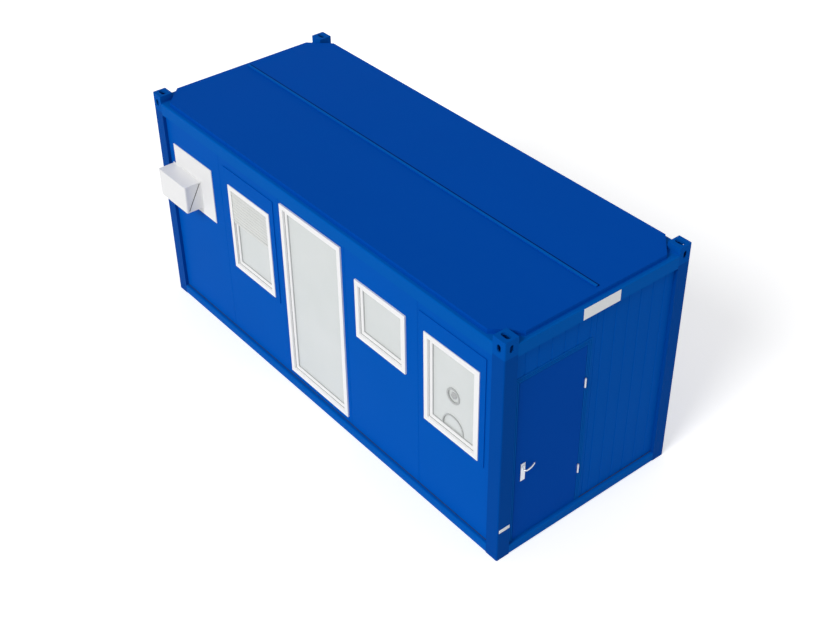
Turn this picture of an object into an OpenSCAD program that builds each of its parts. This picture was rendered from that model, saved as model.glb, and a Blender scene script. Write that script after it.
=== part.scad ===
// Portable site cabin: a steel frame with four corner posts, sandwich wall panels,
// windows, a roller-shutter window, a service window, an air unit and one entrance door.
// X runs along the cabin with the door end at +X, the window side faces -Y, Z is up.
// The origin is the middle of the underside.

/* [Overall] */
// Length over the corner posts
cabin_l = 6055; // [5850:5:6500]
// Width over the corner posts
cabin_w = 2435; // [2350:5:2600]
// Height to the top of the corner castings
cabin_h = 2800; // [2750:5:3000]

/* [Steel frame] */
// Width of each face of a corner post
post_face = 165; // [150:1:175]
// Thickness of the cold-rolled post and rail steel
steel_t = 4; // [3:0.5:6]
// Height of the floor beams
beam_h = 115; // [100:1:140]
// Outer radius of the bends in the cold-rolled steel
bend_r = 14; // [8:1:18]
// Width of the bottom flange of a floor beam
beam_foot_w = 60; // [40:1:90]
// Width of the flange that the walls stand on
ledge_w = 120; // [105:1:140]
// Number of floor cross members
cross_count = 9; // [7:1:11]
// Width of a floor cross member
cross_w = 40; // [30:1:60]
// Drop from the casting top to the gutter ledge of the roof rail
gutter_drop = 85; // [75:1:100]
// Height of the outer face of the roof rail above the wall top
rail_h = 140; // [120:1:160]
// Lip of the roof rail that hangs in front of the wall top
rail_lip = 10; // [4:1:20]
// How far the gutter ledge runs on under the roof tray
ledge_in = 18; // [12:1:30]
// How far the corner plates reach under the cut corners of the roof tray
plate_lap = 40; // [30:1:60]

/* [Corner castings] */
// Height of a corner casting
casting_h = 205; // [180:1:220]
// Wall of a corner casting
casting_wall = 16; // [12:1:20]
// Thickness of the top of a corner casting
casting_top = 28; // [20:1:32]
// Length of the aperture in the top of a casting
top_slot_l = 110; // [90:1:120]
// Width of the aperture in the top of a casting
top_slot_w = 58; // [45:1:64]
// Height of the apertures in the outer sides of a casting
side_slot_h = 84; // [70:1:110]
// Width of the apertures in the outer sides of a casting
side_slot_w = 50; // [40:1:60]

/* [Roof] */
// Distance from the outer face of the rail to the edge of the roof tray
roof_inset = 50; // [44:1:60]
// Height of the roof tray above the gutter ledge
roof_rise = 52; // [40:1:56]
// Thickness of the roof tray
roof_t = 3; // [2:0.5:4]
// Clearance between the cut corners of the roof tray and the corner castings
roof_clear = 11; // [8:1:30]
// Height of the standing seam along the roof
seam_h = 14; // [8:1:16]
// Width of the standing seam along the roof
seam_w = 14; // [8:1:24]
// Distance from the roof's middle line to the standing seam
seam_offset = 30; // [0:5:60]
// Distance from the edge of the roof tray to the ends of the standing seam
seam_end = 60; // [30:5:100]
// Thickness of the ceiling board
ceiling_t = 10; // [8:1:16]
// How far the ceiling board bears on the roof rails
ceiling_bear = 14; // [8:1:30]

/* [Floor] */
// Thickness of the floor board
board_t = 20; // [16:1:24]
// Thickness of the floor covering
cover_t = 3; // [2:0.5:5]

/* [Wall panels] */
// Thickness of a wall panel
wall_t = 60; // [50:1:70]
// Distance from the outer face of the frame to the outer face of the walls
wall_inset = 40; // [30:1:44]
// Depth of the pressed grooves in the outer sheet
rib_d = 4; // [2:0.5:6]
// Width of a pressed groove
rib_w = 24; // [16:1:32]
// Number of pressed grooves on one panel
rib_count = 7; // [5:1:8]
// Chamfer along the upright edges of each outer sheet
joint_bevel = 4; // [2:0.5:6]

/* [Windows] */
// Distance from the wall top down to the window heads
head_drop = 345; // [300:5:400]
// Height of the shuttered and service windows
window_h = 1115; // [1000:5:1200]
// Height of the small window
small_h = 735; // [650:5:800]
// Width of wall on each side of a window of the window side
side_margin = 180.5; // [150:0.5:220]
// Width of wall on each side of a window of the left-hand end
end_margin = 121; // [110:1:160]
// Face width of a window frame
frame_w = 56; // [45:1:70]
// How far a window frame stands in front of the wall
frame_proud = 20; // [16:1:24]
// How far a window frame stands into the room
frame_in = 10; // [4:1:16]
// Face width of a sash
sash_w = 44; // [30:1:50]
// Distance from the wall's outer face to the front of a sash
sash_in = 8; // [4:1:12]
// Depth of a sash
sash_d = 52; // [45:1:56]
// Thickness of a pane of insulating glass
pane_t = 24; // [16:1:28]
// Width of wall on each side of the full-height glazing
tall_margin = 48.5; // [40:0.5:70]
// Distance from the wall's foot up to the full-height glazing
tall_rise = 90; // [70:5:130]
// Distance from the wall top down to the full-height glazing
tall_drop = 85; // [65:5:110]
// Sideways offset of the service window on its panel
service_offset = -70; // [-80:1:0]
// Margin of the raised plate round a shuttered window
plate_margin = 80; // [60:1:85]
// Thickness of the raised plate round a shuttered window
plate_t = 10; // [6:1:14]
// Height of the raised plate above the window head
plate_head = 200; // [180:1:210]

/* [Service window] */
// Outer radius of the pass-through arch
arch_r = 159; // [130:1:180]
// Height of the straight legs of the arch
arch_leg = 22; // [10:1:60]
// Width of the trim round the arch
arch_trim = 14; // [10:1:20]
// How far the trims stand out from the glass on each side
trim_proud = 8; // [5:1:12]
// Outer radius of the speaking ring
ring_r = 95; // [80:1:110]
// Width of the speaking ring
ring_w = 20; // [14:1:28]
// Height of the middle of the speaking ring above the bottom of the glass
ring_rise = 440; // [380:5:500]
// Thickness of the single glass in the arch and the ring
hatch_t = 6; // [4:1:8]

/* [Shutters] */
// Height of one shutter slat
slat_h = 40; // [35:1:50]
// Thickness of the shutter curtain
slat_t = 9; // [8:0.5:10]
// Depth of the guide groove in a window frame
guide_d = 12; // [8:1:16]
// Number of slats let down on the front window
front_slats = 10; // [6:1:14]
// Number of slats let down on the left-hand windows
left_slats = 6; // [4:1:10]
// Height of the groove between two slats
slat_gap = 5; // [3:0.5:8]
// Radius of the rounded front of a slat
slat_crown = 60; // [45:1:100]
// Thickness of the web that joins the slats
slat_web = 4; // [3:0.5:5]
// Height of the end bar at the foot of a curtain
end_bar_h = 32; // [24:1:40]
// Thickness of the end bar
end_bar_t = 14; // [11:0.5:16]
// Distance from the frame's outer face to the middle of the curtain
curtain_in = 12; // [10:0.5:13]
// Play between the end bar and the frame on each side
bar_gap = 3; // [2:0.5:5]
// Height of a shutter box inside the cabin
box_h = 200; // [180:1:220]
// Depth of a shutter box inside the cabin
box_d = 130; // [110:1:160]
// How far a shutter box runs past the window on each side
box_over = 20; // [0:1:30]

/* [Air unit] */
// Height of the infill board
infill_h = 711; // [650:1:800]
// Thickness of the infill board
infill_t = 40; // [30:1:50]
// Width of the air unit
air_w = 580; // [520:5:620]
// Height of the air unit
air_h = 350; // [320:5:380]
// Depth of the air unit in front of the infill board
air_d = 220; // [180:5:260]
// Height of the bottom of the air unit above the bottom of the infill board
air_rise = 91; // [70:1:120]
// Sideways offset of the air unit on its panel
air_offset = -150; // [-180:5:-110]
// Radius of the outer upright edges of the air unit
air_r = 16; // [10:1:24]
// Width of the rim round the pressed triangle on the unit's cheeks
cheek_rim = 16; // [12:1:24]
// Depth of the pressed triangle on the unit's cheeks
cheek_d = 5; // [3:0.5:8]

/* [Door] */
// Width of wall between the door frame and the joint in the middle of the end
door_margin = 42.5; // [35:0.5:60]
// Distance from the wall top down to the top of the door leaf
leaf_drop = 385; // [340:5:430]
// Thickness of the door leaf
leaf_t = 40; // [35:1:45]
// Face width of the door frame
jamb_w = 60; // [45:1:61]
// Running gap round the door leaf
door_gap = 5; // [5:0.5:8]
// How far the door frame and leaf stand in front of the wall
door_proud = 5; // [3:0.5:8]
// Depth of the stop behind the door leaf
stop_w = 15; // [10:1:20]
// Width of the grooves along the face of the door frame
jamb_groove_w = 8; // [5:0.5:12]
// Depth of the grooves along the face of the door frame
jamb_groove_d = 4; // [2:0.5:6]
// Height of the threshold
sill_t = 8; // [6:0.5:10]
// Height of the middle of the door handle above the bottom of the leaf
handle_rise = 932; // [850:2:1000]
// Distance from the free edge of the leaf to the handle plate's middle
handle_edge = 95; // [60:5:120]
// Distance of the hinges from the ends of the leaf
hinge_end = 460; // [350:5:550]
// Height of a hinge
hinge_h = 110; // [90:5:140]
// Radius of a hinge knuckle
hinge_r = 10; // [8:0.5:12]
// Radius of a hinge pin
pin_r = 5; // [4:0.5:6]
// Width of a hinge flap
flap_w = 34; // [28:1:44]
// Thickness of a hinge flap
flap_t = 3; // [2:0.5:4]
// Width of the handle's back plate
plate_w = 58; // [40:1:70]
// Height of the handle's back plate
plate_h = 225; // [180:5:260]
// Thickness of the handle's back plate
handle_plate_t = 8; // [4:1:12]
// How far the middle of the back plate sits below the lever's axis
plate_drop = 38; // [0:1:60]
// How far the lever's axis stands off the leaf
handle_reach = 46; // [40:1:55]
// Radius of the lever's bar
lever_r = 9; // [7:0.5:11]
// Radius of the lever's first bend
lever_bend = 20; // [14:1:26]
// Radius of the lever's long curve
lever_curve = 260; // [200:10:400]
// Angle of the lever's long curve
lever_angle = 28; // [15:1:35]

/* [Hidden] */
$fn = 48;
eps = 1;

half_l = cabin_l / 2;
half_w = cabin_w / 2;
// Outer and inner faces of the walls
wall_x = half_l - wall_inset;
wall_y = half_w - wall_inset;
room_x = wall_x - wall_t;
room_y = wall_y - wall_t;
// Levels
gutter_z = cabin_h - gutter_drop;
wall_top = gutter_z - rail_h;
wall_bottom = beam_h;
wall_h = wall_top - wall_bottom;
floor_z = beam_h + cover_t;
casting_z = cabin_h - casting_h;
// Length cut off the corners of the roof tray along each side
roof_cut = 2 * (post_face - roof_inset) + roof_clear * sqrt(2);
// Middle parts between the corner posts
span_x = half_l - post_face;
span_y = half_w - post_face;
// Panel grid
side_panels = 5;
side_w = 2 * room_x / side_panels;
end_w = wall_y;
// Windows of the end wall sit in the middle of the bay that the post leaves free
end_bay = span_y / 2;
window_head = wall_top - head_drop;
low_sill = window_head - window_h;
small_sill = window_head - small_h;
infill_sill = window_head - infill_h;
tall_sill = wall_bottom + tall_rise;
tall_head = wall_top - tall_drop;
side_window_w = side_w - 2 * side_margin;
end_window_w = span_y - 2 * end_margin;
tall_w = side_w - 2 * tall_margin;
// Depths in a window, measured into the wall from its outer face
curtain_y = curtain_in - frame_proud;
pane_y = sash_in + (sash_d - pane_t) / 2;
// Door
sill_z = beam_h + sill_t;
leaf_bottom = sill_z + door_gap;
leaf_head = wall_top - leaf_drop;
leaf_front = wall_x + door_proud;
door_edge = -span_y + door_gap;
leaf_y0 = door_edge + jamb_w + door_gap;
door_y1 = -door_margin;
leaf_y1 = door_y1 - jamb_w - door_gap;
door_top = leaf_head + door_gap + jamb_w;
hinge_x = leaf_front + hinge_r;
hinge_y = leaf_y1 + door_gap / 2;
hinge_levels = [leaf_bottom + hinge_end, leaf_head - hinge_end];
pin_gap = 0.3;
knuckle_gap = 1;

blue = [0.0, 0.33, 0.68];
white = [0.92, 0.92, 0.92];
grey = [0.72, 0.73, 0.72];

// Moves a piece drawn at the +X +Y corner to the corner on sides sx and sy
module corner_mirror(sx, sy) {
    mirror([sx < 0 ? 1 : 0, 0, 0]) mirror([0, sy < 0 ? 1 : 0, 0]) children();
}

// Box from its lowest to its highest corner
module block(a, b) {
    translate(a) cube(b - a);
}

// A profile drawn across the cabin, run along X from x0 to x1
module run_x(x0, x1) {
    translate([x0, 0, 0]) rotate([90, 0, 90]) linear_extrude(x1 - x0) children();
}

// A profile drawn along the cabin, run along Y from y0 to y1
module run_y(y0, y1) {
    translate([0, y1, 0]) rotate([90, 0, 0]) linear_extrude(y1 - y0) children();
}

// Square corner block in plan, with its outer edge at the origin rounded to radius r
module corner_plan(a, r) {
    translate([r, 0]) square([a - r, a]);
    translate([0, r]) square([a, a - r]);
    translate([r, r]) circle(r);
}

// Bent corner of a rolled section, from +X round to +Y about the origin
module bend() {
    intersection() {
        difference() {
            circle(bend_r);
            circle(bend_r - steel_t);
        }
        square(bend_r);
    }
}

// Section of a floor beam: its web stands at u = edge, its flanges point towards u = 0
module beam_section(edge) {
    t = steel_t;
    r = bend_r;
    translate([edge - beam_foot_w, 0]) square([beam_foot_w - r, t]);
    translate([edge - r, r]) rotate(-90) bend();
    translate([edge - t, r]) square([t, beam_h - 2 * r]);
    translate([edge - r, beam_h - r]) bend();
    translate([edge - ledge_w, beam_h - t]) square([ledge_w - r, t]);
}

module floor_beams() {
    color(blue) {
        for (s = [0, 1]) {
            mirror([0, s, 0]) run_x(-span_x, span_x) beam_section(half_w);
            mirror([s, 0, 0]) run_y(-span_y, span_y) beam_section(half_l);
        }
    }
}

// Moves a plan drawn from its outer edge to the +X +Y corner of the cabin
module at_corner() {
    translate([half_l, half_w, 0]) rotate([0, 0, 180]) children();
}

// Return lips of a post, which bear on the walls
module post_lips() {
    translate([0, post_face - steel_t]) square([wall_inset, steel_t]);
    translate([post_face - steel_t, 0]) square([steel_t, wall_inset]);
}

// Solid foot block that fills the bottom of a post
module corner_foot() {
    at_corner() linear_extrude(beam_h) difference() {
        translate([steel_t, steel_t]) corner_plan(post_face - steel_t, bend_r - steel_t);
        post_lips();
    }
}

module corner_feet() {
    color(blue) {
        for (sx = [-1, 1], sy = [-1, 1])
            corner_mirror(sx, sy) corner_foot();
    }
}

// Hole with straight sides and round ends, along X, cut upwards from z = 0
module slot_hole(l, w, h) {
    block([-(l - w) / 2, -w / 2, 0], [(l - w) / 2, w / 2, h]);
    for (s = [-1, 1])
        translate([s * (l - w) / 2, 0, 0]) cylinder(h = h, d = w);
}

module floor_cross_members() {
    web = half_w - bend_r;
    pitch = 2 * room_x / (cross_count + 1);
    z0 = steel_t;
    color(grey) {
        for (i = [1 : cross_count])
            translate([-room_x + i * pitch, 0, 0])
                difference() {
                    block([-cross_w / 2, -web, z0], [cross_w / 2, web, beam_h - board_t]);
                    block([-cross_w / 2 + steel_t, -web - eps, z0 + steel_t],
                        [cross_w / 2 + eps, web + eps, beam_h - board_t - steel_t]);
                }
    }
}

// Sheet under the floor, flush between the bottom flanges of the beams
module underfloor_sheet() {
    x = half_l - beam_foot_w;
    y = half_w - beam_foot_w;
    color(grey) difference() {
        block([-x, -y, 0], [x, y, steel_t]);
        for (sx = [-1, 1], sy = [-1, 1])
            corner_mirror(sx, sy) block([span_x, span_y, -eps], [half_l, half_w, beam_h]);
    }
}

module floor_board() {
    x = half_l - ledge_w;
    y = half_w - ledge_w;
    color([0.7, 0.55, 0.35]) difference() {
        block([-x, -y, beam_h - board_t], [x, y, beam_h]);
        for (sx = [-1, 1], sy = [-1, 1])
            corner_mirror(sx, sy) block([span_x, span_y, 0], [half_l, half_w, beam_h + eps]);
    }
}

module floor_covering() {
    color([0.8, 0.8, 0.8]) block([-room_x, -room_y, beam_h], [room_x, room_y, floor_z]);
}

// Cold-rolled angle with a rounded outer edge and return lips
module post() {
    at_corner() linear_extrude(casting_z) {
        difference() {
            corner_plan(post_face, bend_r);
            translate([steel_t, steel_t]) corner_plan(post_face, bend_r - steel_t);
        }
        post_lips();
    }
}

// Hollow corner casting with an oval aperture in its top and in both outer sides
module casting() {
    a = post_face;
    w = casting_wall;
    mid_z = casting_z + casting_h / 2;
    mid_x = half_l - a / 2;
    mid_y = half_w - a / 2;
    difference() {
        at_corner() translate([0, 0, casting_z]) linear_extrude(casting_h) corner_plan(a, bend_r);
        block([half_l - a + w, half_w - a + w, casting_z + w],
            [half_l - w, half_w - w, cabin_h - casting_top]);
        translate([mid_x, mid_y, cabin_h - casting_top - eps])
            slot_hole(top_slot_l, top_slot_w, casting_top + 2 * eps);
        translate([half_l + eps, mid_y, mid_z]) rotate([0, -90, 0])
            slot_hole(side_slot_h, side_slot_w, w + 2 * eps);
        translate([mid_x, half_w + eps, mid_z]) rotate([90, -90, 0])
            slot_hole(side_slot_h, side_slot_w, w + 2 * eps);
    }
}

module corner_castings() {
    color(blue) {
        for (sx = [-1, 1], sy = [-1, 1])
            corner_mirror(sx, sy) casting();
    }
}

// Section of a roof rail: hanging lip, outer web, gutter ledge and wall-top flange
module rail_section(edge) {
    t = steel_t;
    r = bend_r;
    translate([edge - t, wall_top - rail_lip]) square([t, rail_h + rail_lip - r]);
    translate([edge - r, gutter_z - r]) bend();
    translate([edge - roof_inset - ledge_in, gutter_z - t])
        square([roof_inset + ledge_in - r, t]);
    translate([edge - ledge_w, wall_top]) square([ledge_w - t, t]);
}

module roof_rails() {
    color(blue) {
        for (s = [0, 1]) {
            mirror([0, s, 0]) run_x(-span_x, span_x) rail_section(half_w);
            mirror([s, 0, 0]) run_y(-span_y, span_y) rail_section(half_l);
        }
    }
}

// Upper and lower plates that close the frame round each casting
module corner_plates() {
    u = half_l - roof_inset - ledge_in;
    v = half_w - roof_inset - ledge_in;
    c = roof_cut + plate_lap;
    translate([0, 0, gutter_z - steel_t]) linear_extrude(steel_t)
        polygon([
            [u, span_y], [u, v - c], [u - c, v], [span_x, v], [span_x, span_y]]);
    block([span_x, span_y, wall_top], [wall_x, wall_y, wall_top + steel_t]);
}

module roof_corner_plates() {
    color(blue) {
        for (sx = [-1, 1], sy = [-1, 1])
            corner_mirror(sx, sy) corner_plates();
    }
}

// Plan of the roof tray, a rectangle with its corners cut off
module roof_plan(inset) {
    x = half_l - roof_inset - inset;
    y = half_w - roof_inset - inset;
    c = roof_cut - inset * (2 - sqrt(2));
    polygon([
        [x - c, y], [-x + c, y], [-x, y - c], [-x, -y + c],
        [-x + c, -y], [x - c, -y], [x, -y + c], [x, y - c]]);
}

module roof_sheet() {
    top = gutter_z + roof_rise;
    seam_l = half_l - roof_inset - seam_end;
    color(blue) {
        translate([0, 0, gutter_z]) difference() {
            linear_extrude(roof_rise) roof_plan(0);
            translate([0, 0, -eps]) linear_extrude(roof_rise - roof_t + eps) roof_plan(roof_t);
        }
        translate([0, seam_offset, 0]) run_x(-seam_l, seam_l)
            polygon([
                [-seam_w, top - roof_t / 2], [seam_w, top - roof_t / 2],
                [seam_w / 2, top + seam_h], [-seam_w / 2, top + seam_h]]);
    }
}

module ceiling_board() {
    x = half_l - ledge_w + ceiling_bear;
    y = half_w - ledge_w + ceiling_bear;
    z = wall_top + steel_t;
    color(white) block([-x, -y, z], [x, y, z + ceiling_t]);
}

// Plan of a panel along X: its outer sheet at y = 0 has pressed grooves and bevelled edges
module panel_plan(w, count) {
    pitch = w / max(count, 1);
    b = joint_bevel;
    grooves = count < 1 ? [] : [
        for (i = [0 : count - 1])
            let (c = (i + 0.5) * pitch, h = rib_w / 2)
                each [[c - h, 0], [c - h + rib_d, rib_d], [c + h - rib_d, rib_d], [c + h, 0]]];
    polygon(concat(
        [[0, wall_t], [0, b], [b, 0]], grooves, [[w - b, 0], [w, b], [w, wall_t]]));
}

module panel(w, count) {
    linear_extrude(wall_h) panel_plan(w, count);
}

// Places a panel or window drawn facing -Y on each wall, u being its place on the wall
module on_front(u) {
    translate([u, -wall_y, wall_bottom]) children();
}
module on_rear(u) {
    translate([u, wall_y, wall_bottom]) rotate([0, 0, 180]) children();
}
module on_right(u) {
    translate([wall_x, u, wall_bottom]) rotate([0, 0, 90]) children();
}
module on_left(u) {
    translate([-wall_x, u, wall_bottom]) rotate([0, 0, -90]) children();
}

// Opening through a panel, from x0 to x1 and from level z0 to level z1
module opening(x0, x1, z0, z1) {
    block([x0, -eps, z0 - wall_bottom], [x1, wall_t + eps, z1 - wall_bottom]);
}

// Windows of the front by panel: middle from the panel's left edge, width, sill and head
function front_hole(i) =
    i == 1 ? [side_w / 2, side_window_w, infill_sill, window_head]
    : i == 2 ? [side_w / 2, side_window_w, low_sill, window_head]
    : i == 3 ? [side_w / 2, tall_w, tall_sill, tall_head]
    : i == 4 ? [side_w / 2, side_window_w, small_sill, window_head]
    : [side_w / 2 + service_offset, side_window_w, low_sill, window_head];

module front_panel(i) {
    h = front_hole(i);
    color(blue) on_front(-room_x + (i - 1) * side_w) difference() {
        panel(side_w, 0);
        opening(h[0] - h[1] / 2, h[0] + h[1] / 2, h[2], h[3]);
    }
}

module rear_panel(i) {
    color(blue) on_rear(room_x - (i - 1) * side_w) panel(side_w, rib_count);
}

// Left-hand end: panel 1 is next to the window side
module left_panel(i) {
    mid = i == 1 ? end_bay : end_w - end_bay;
    color(blue) on_left(i == 1 ? 0 : end_w) difference() {
        panel(end_w, rib_count);
        opening(mid - end_window_w / 2, mid + end_window_w / 2, low_sill, window_head);
    }
}

module right_panel() {
    color(blue) on_right(0) panel(end_w, rib_count);
}

module door_panel_sides() {
    color(blue) on_right(-end_w) difference() {
        panel(end_w, rib_count);
        block([door_edge + end_w, -eps, -eps], [door_y1 + end_w, wall_t + eps, wall_h + eps]);
    }
}

module door_panel_head() {
    color(blue) on_right(-end_w) intersection() {
        panel(end_w, rib_count);
        block([door_edge + end_w, -eps, door_top - wall_bottom],
            [door_y1 + end_w, wall_t + eps, wall_h + eps]);
    }
}

// Flat ring of face width f round an opening w wide, from depth y0 to depth y1
module ring(w, z0, z1, f, y0, y1) {
    a = w / 2;
    difference() {
        block([-a, y0, z0], [a, y1, z1]);
        block([-a + f, y0 - eps, z0 + f], [a - f, y1 + eps, z1 - f]);
    }
}

// Shape drawn across a window, u along it and v upwards, run into the wall from y0 to y1
module into_wall(y0, y1) {
    translate([0, y1, 0]) rotate([90, 0, 0]) linear_extrude(y1 - y0) children();
}

// Places a window drawn about x = 0 on front panel i, or on side s of the left-hand end
module front_place(i) {
    h = front_hole(i);
    translate([-room_x + (i - 1) * side_w + h[0], -wall_y, 0]) children();
}
module left_place(s) {
    translate([-wall_x, s * end_bay, 0]) rotate([0, 0, -90]) children();
}

// Window frame, with a guide groove where a shutter runs
module window_frame(w, z0, z1, shutter) {
    a = w / 2 - frame_w + guide_d;
    difference() {
        ring(w, z0, z1, frame_w, -frame_proud, wall_t + frame_in);
        if (shutter)
            block([-a, curtain_y - slat_t / 2, z0 + frame_w],
                [a, curtain_y + slat_t / 2, z1 - frame_w + guide_d]);
    }
}

module window_frames() {
    color(white) {
        front_place(2) window_frame(side_window_w, low_sill, window_head, true);
        front_place(3) window_frame(tall_w, tall_sill, tall_head, false);
        front_place(4) window_frame(side_window_w, small_sill, window_head, false);
        front_place(5) window_frame(side_window_w, low_sill, window_head, false);
        for (s = [-1, 1])
            left_place(s) window_frame(end_window_w, low_sill, window_head, true);
    }
}

module window_sash(w, z0, z1) {
    f = frame_w;
    ring(w - 2 * f, z0 + f, z1 - f, sash_w, sash_in, sash_in + sash_d);
}

module window_sashes() {
    color(white) {
        front_place(2) window_sash(side_window_w, low_sill, window_head);
        front_place(3) window_sash(tall_w, tall_sill, tall_head);
        front_place(4) window_sash(side_window_w, small_sill, window_head);
        front_place(5) window_sash(side_window_w, low_sill, window_head);
        for (s = [-1, 1])
            left_place(s) window_sash(end_window_w, low_sill, window_head);
    }
}

module window_pane(w, z0, z1) {
    f = frame_w + sash_w;
    block([-w / 2 + f, pane_y, z0 + f], [w / 2 - f, pane_y + pane_t, z1 - f]);
}

// Arch that stands on v = 0, a half circle of radius r on straight legs
module arch(r, leg) {
    translate([-r, 0]) square([2 * r, leg]);
    intersection() {
        translate([0, leg]) circle(r);
        translate([-r, leg]) square([2 * r, r]);
    }
}

// Pane of the service window, with the arch and the speaking ring cut out of it
module service_pane() {
    z = low_sill + frame_w + sash_w;
    difference() {
        window_pane(side_window_w, low_sill, window_head);
        translate([0, 0, z]) {
            into_wall(pane_y - eps, pane_y + pane_t + eps)
                translate([0, -eps]) arch(arch_r, arch_leg + eps);
            into_wall(pane_y - eps, pane_y + pane_t + eps)
                translate([0, ring_rise]) circle(ring_r);
        }
    }
}

// Single glass in the arch and in the speaking ring
module service_glass() {
    y = pane_y + (pane_t - hatch_t) / 2;
    translate([0, 0, low_sill + frame_w + sash_w]) into_wall(y, y + hatch_t) {
        arch(arch_r - arch_trim, arch_leg);
        translate([0, ring_rise]) circle(ring_r - ring_w);
    }
}

module service_trims() {
    color(grey) front_place(5) translate([0, 0, low_sill + frame_w + sash_w])
        into_wall(pane_y - trim_proud, pane_y + pane_t + trim_proud) {
            difference() {
                arch(arch_r, arch_leg);
                translate([0, -eps]) arch(arch_r - arch_trim, arch_leg + eps);
            }
            translate([0, ring_rise]) difference() {
                circle(ring_r);
                circle(ring_r - ring_w);
            }
        }
}

module window_panes() {
    color([0.8, 0.85, 0.83]) {
        front_place(2) window_pane(side_window_w, low_sill, window_head);
        front_place(3) window_pane(tall_w, tall_sill, tall_head);
        front_place(4) window_pane(side_window_w, small_sill, window_head);
        front_place(5) {
            service_pane();
            service_glass();
        }
        for (s = [-1, 1])
            left_place(s) window_pane(end_window_w, low_sill, window_head);
    }
}

// Raised plate round a window of width w that carries a shutter
module window_plate(w) {
    a = w / 2;
    m = plate_margin;
    difference() {
        block([-a - m, -plate_t, low_sill - m / 2], [a + m, 0, window_head + plate_head]);
        block([-a, -plate_t - eps, low_sill], [a, eps, window_head]);
    }
}

module window_plates() {
    color(blue) {
        front_place(2) window_plate(side_window_w);
        front_place(5) window_plate(side_window_w);
        for (s = [-1, 1])
            left_place(s) window_plate(end_window_w);
    }
}

module shutter_box(w) {
    a = w / 2 + box_over;
    block([-a, wall_t, window_head], [a, wall_t + box_d, window_head + box_h]);
}

module shutter_boxes() {
    color(white) {
        front_place(2) shutter_box(side_window_w);
        front_place(5) shutter_box(side_window_w);
        for (s = [-1, 1])
            left_place(s) shutter_box(end_window_w);
    }
}

// Section of one slat, its crowned front at u = 0, from v = 0 up
module slat_section() {
    h = slat_h - slat_gap;
    intersection() {
        square([slat_t, h]);
        translate([slat_crown, h / 2]) circle(slat_crown);
    }
    translate([slat_t - slat_web, 0]) square([slat_web, slat_h]);
}

// Curtain of slats that runs in the guides, with an end bar between them
module curtain(w, count) {
    a = w / 2 - frame_w;
    top = window_head - frame_w + guide_d;
    foot = top - count * slat_h;
    y = curtain_y - slat_t / 2;
    translate([-a - guide_d, y, 0]) rotate([90, 0, 90])
        linear_extrude(2 * (a + guide_d))
            for (i = [0 : count - 1])
                translate([0, foot + i * slat_h]) slat_section();
    block([-a + bar_gap, curtain_y - end_bar_t / 2, foot - end_bar_h],
        [a - bar_gap, curtain_y + end_bar_t / 2, foot]);
}

module shutter_curtains() {
    color(grey) {
        front_place(2) curtain(side_window_w, front_slats);
        for (s = [-1, 1])
            left_place(s) curtain(end_window_w, left_slats);
    }
}

module infill_board() {
    a = side_window_w / 2;
    color(white) front_place(1)
        block([-a, -plate_t, infill_sill], [a, -plate_t + infill_t, window_head]);
}

// Pressed triangle in a cheek of the air unit, its long side from the top back corner
// to the bottom front corner, drawn for the cheek at x = 0 that faces +X
module cheek_press() {
    m = cheek_rim;
    translate([-cheek_d, 0, 0]) rotate([90, 0, 90]) linear_extrude(cheek_d + eps)
        polygon([[-air_d + air_r + m, air_h - m], [-m, air_h - m], [-air_d + air_r + m, m]]);
}

// Air unit with its outer upright edges rounded
module air_unit() {
    a = air_w / 2;
    r = air_r;
    color(white) front_place(1) translate([air_offset, -plate_t, infill_sill + air_rise])
        difference() {
            union() {
                block([-a, -air_d + r, 0], [a, 0, air_h]);
                block([-a + r, -air_d, 0], [a - r, -air_d + r, air_h]);
                for (s = [-1, 1])
                    translate([s * (a - r), -air_d + r, 0]) cylinder(h = air_h, r = r);
            }
            translate([a, 0, 0]) cheek_press();
            mirror([1, 0, 0]) translate([a, 0, 0]) cheek_press();
        }
}

// Groove ring on the face of the door frame, at distance d from its outer edge
module jamb_groove(d) {
    w = jamb_groove_w;
    x = leaf_front - jamb_groove_d;
    z = beam_h - eps;
    difference() {
        block([x, door_edge + d, z], [leaf_front + eps, door_y1 - d, door_top - d]);
        block([x - eps, door_edge + d + w, z - eps],
            [leaf_front + 2 * eps, door_y1 - d - w, door_top - d - w]);
    }
}

module door_frame() {
    x1 = leaf_front;
    x0 = room_x - door_proud;
    stop_x = leaf_front - leaf_t - door_gap;
    color(blue) difference() {
        block([x0, door_edge, beam_h], [x1, door_y1, door_top]);
        block([x0 - eps, door_edge + jamb_w + stop_w, sill_z],
            [x1 + eps, door_y1 - jamb_w - stop_w, door_top - jamb_w - stop_w]);
        block([stop_x, door_edge + jamb_w, sill_z],
            [x1 + eps, door_y1 - jamb_w, door_top - jamb_w]);
        block([x0 - eps, door_edge - eps, beam_h - eps], [room_x, door_y1 + eps, floor_z]);
        for (k = [1, 2])
            jamb_groove(k * jamb_w / 3 - jamb_groove_w / 2);
    }
}

module door_leaf() {
    color(blue) block([leaf_front - leaf_t, leaf_y0, leaf_bottom], [leaf_front, leaf_y1, leaf_head]);
}

// One knuckle with its flap, from level z0 to z1, the flap on side s
module knuckle(z0, z1, s) {
    translate([hinge_x, hinge_y, z0]) cylinder(h = z1 - z0, r = hinge_r);
    y0 = hinge_y + (s < 0 ? -flap_w : 0);
    block([leaf_front, y0, z0], [leaf_front + flap_t, y0 + flap_w, z1]);
}

module hinge_frame_halves() {
    color("silver") {
        for (z = hinge_levels) {
            knuckle(z - hinge_h / 2, z - knuckle_gap, 1);
            translate([hinge_x, hinge_y, z - pin_r]) cylinder(h = hinge_h / 2, r = pin_r);
        }
    }
}

module hinge_leaf_halves() {
    color("silver") {
        for (z = hinge_levels)
            difference() {
                knuckle(z, z + hinge_h / 2, -1);
                translate([hinge_x, hinge_y, z - eps])
                    cylinder(h = hinge_h / 2 + 2 * eps, r = pin_r + pin_gap);
            }
    }
}

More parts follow.
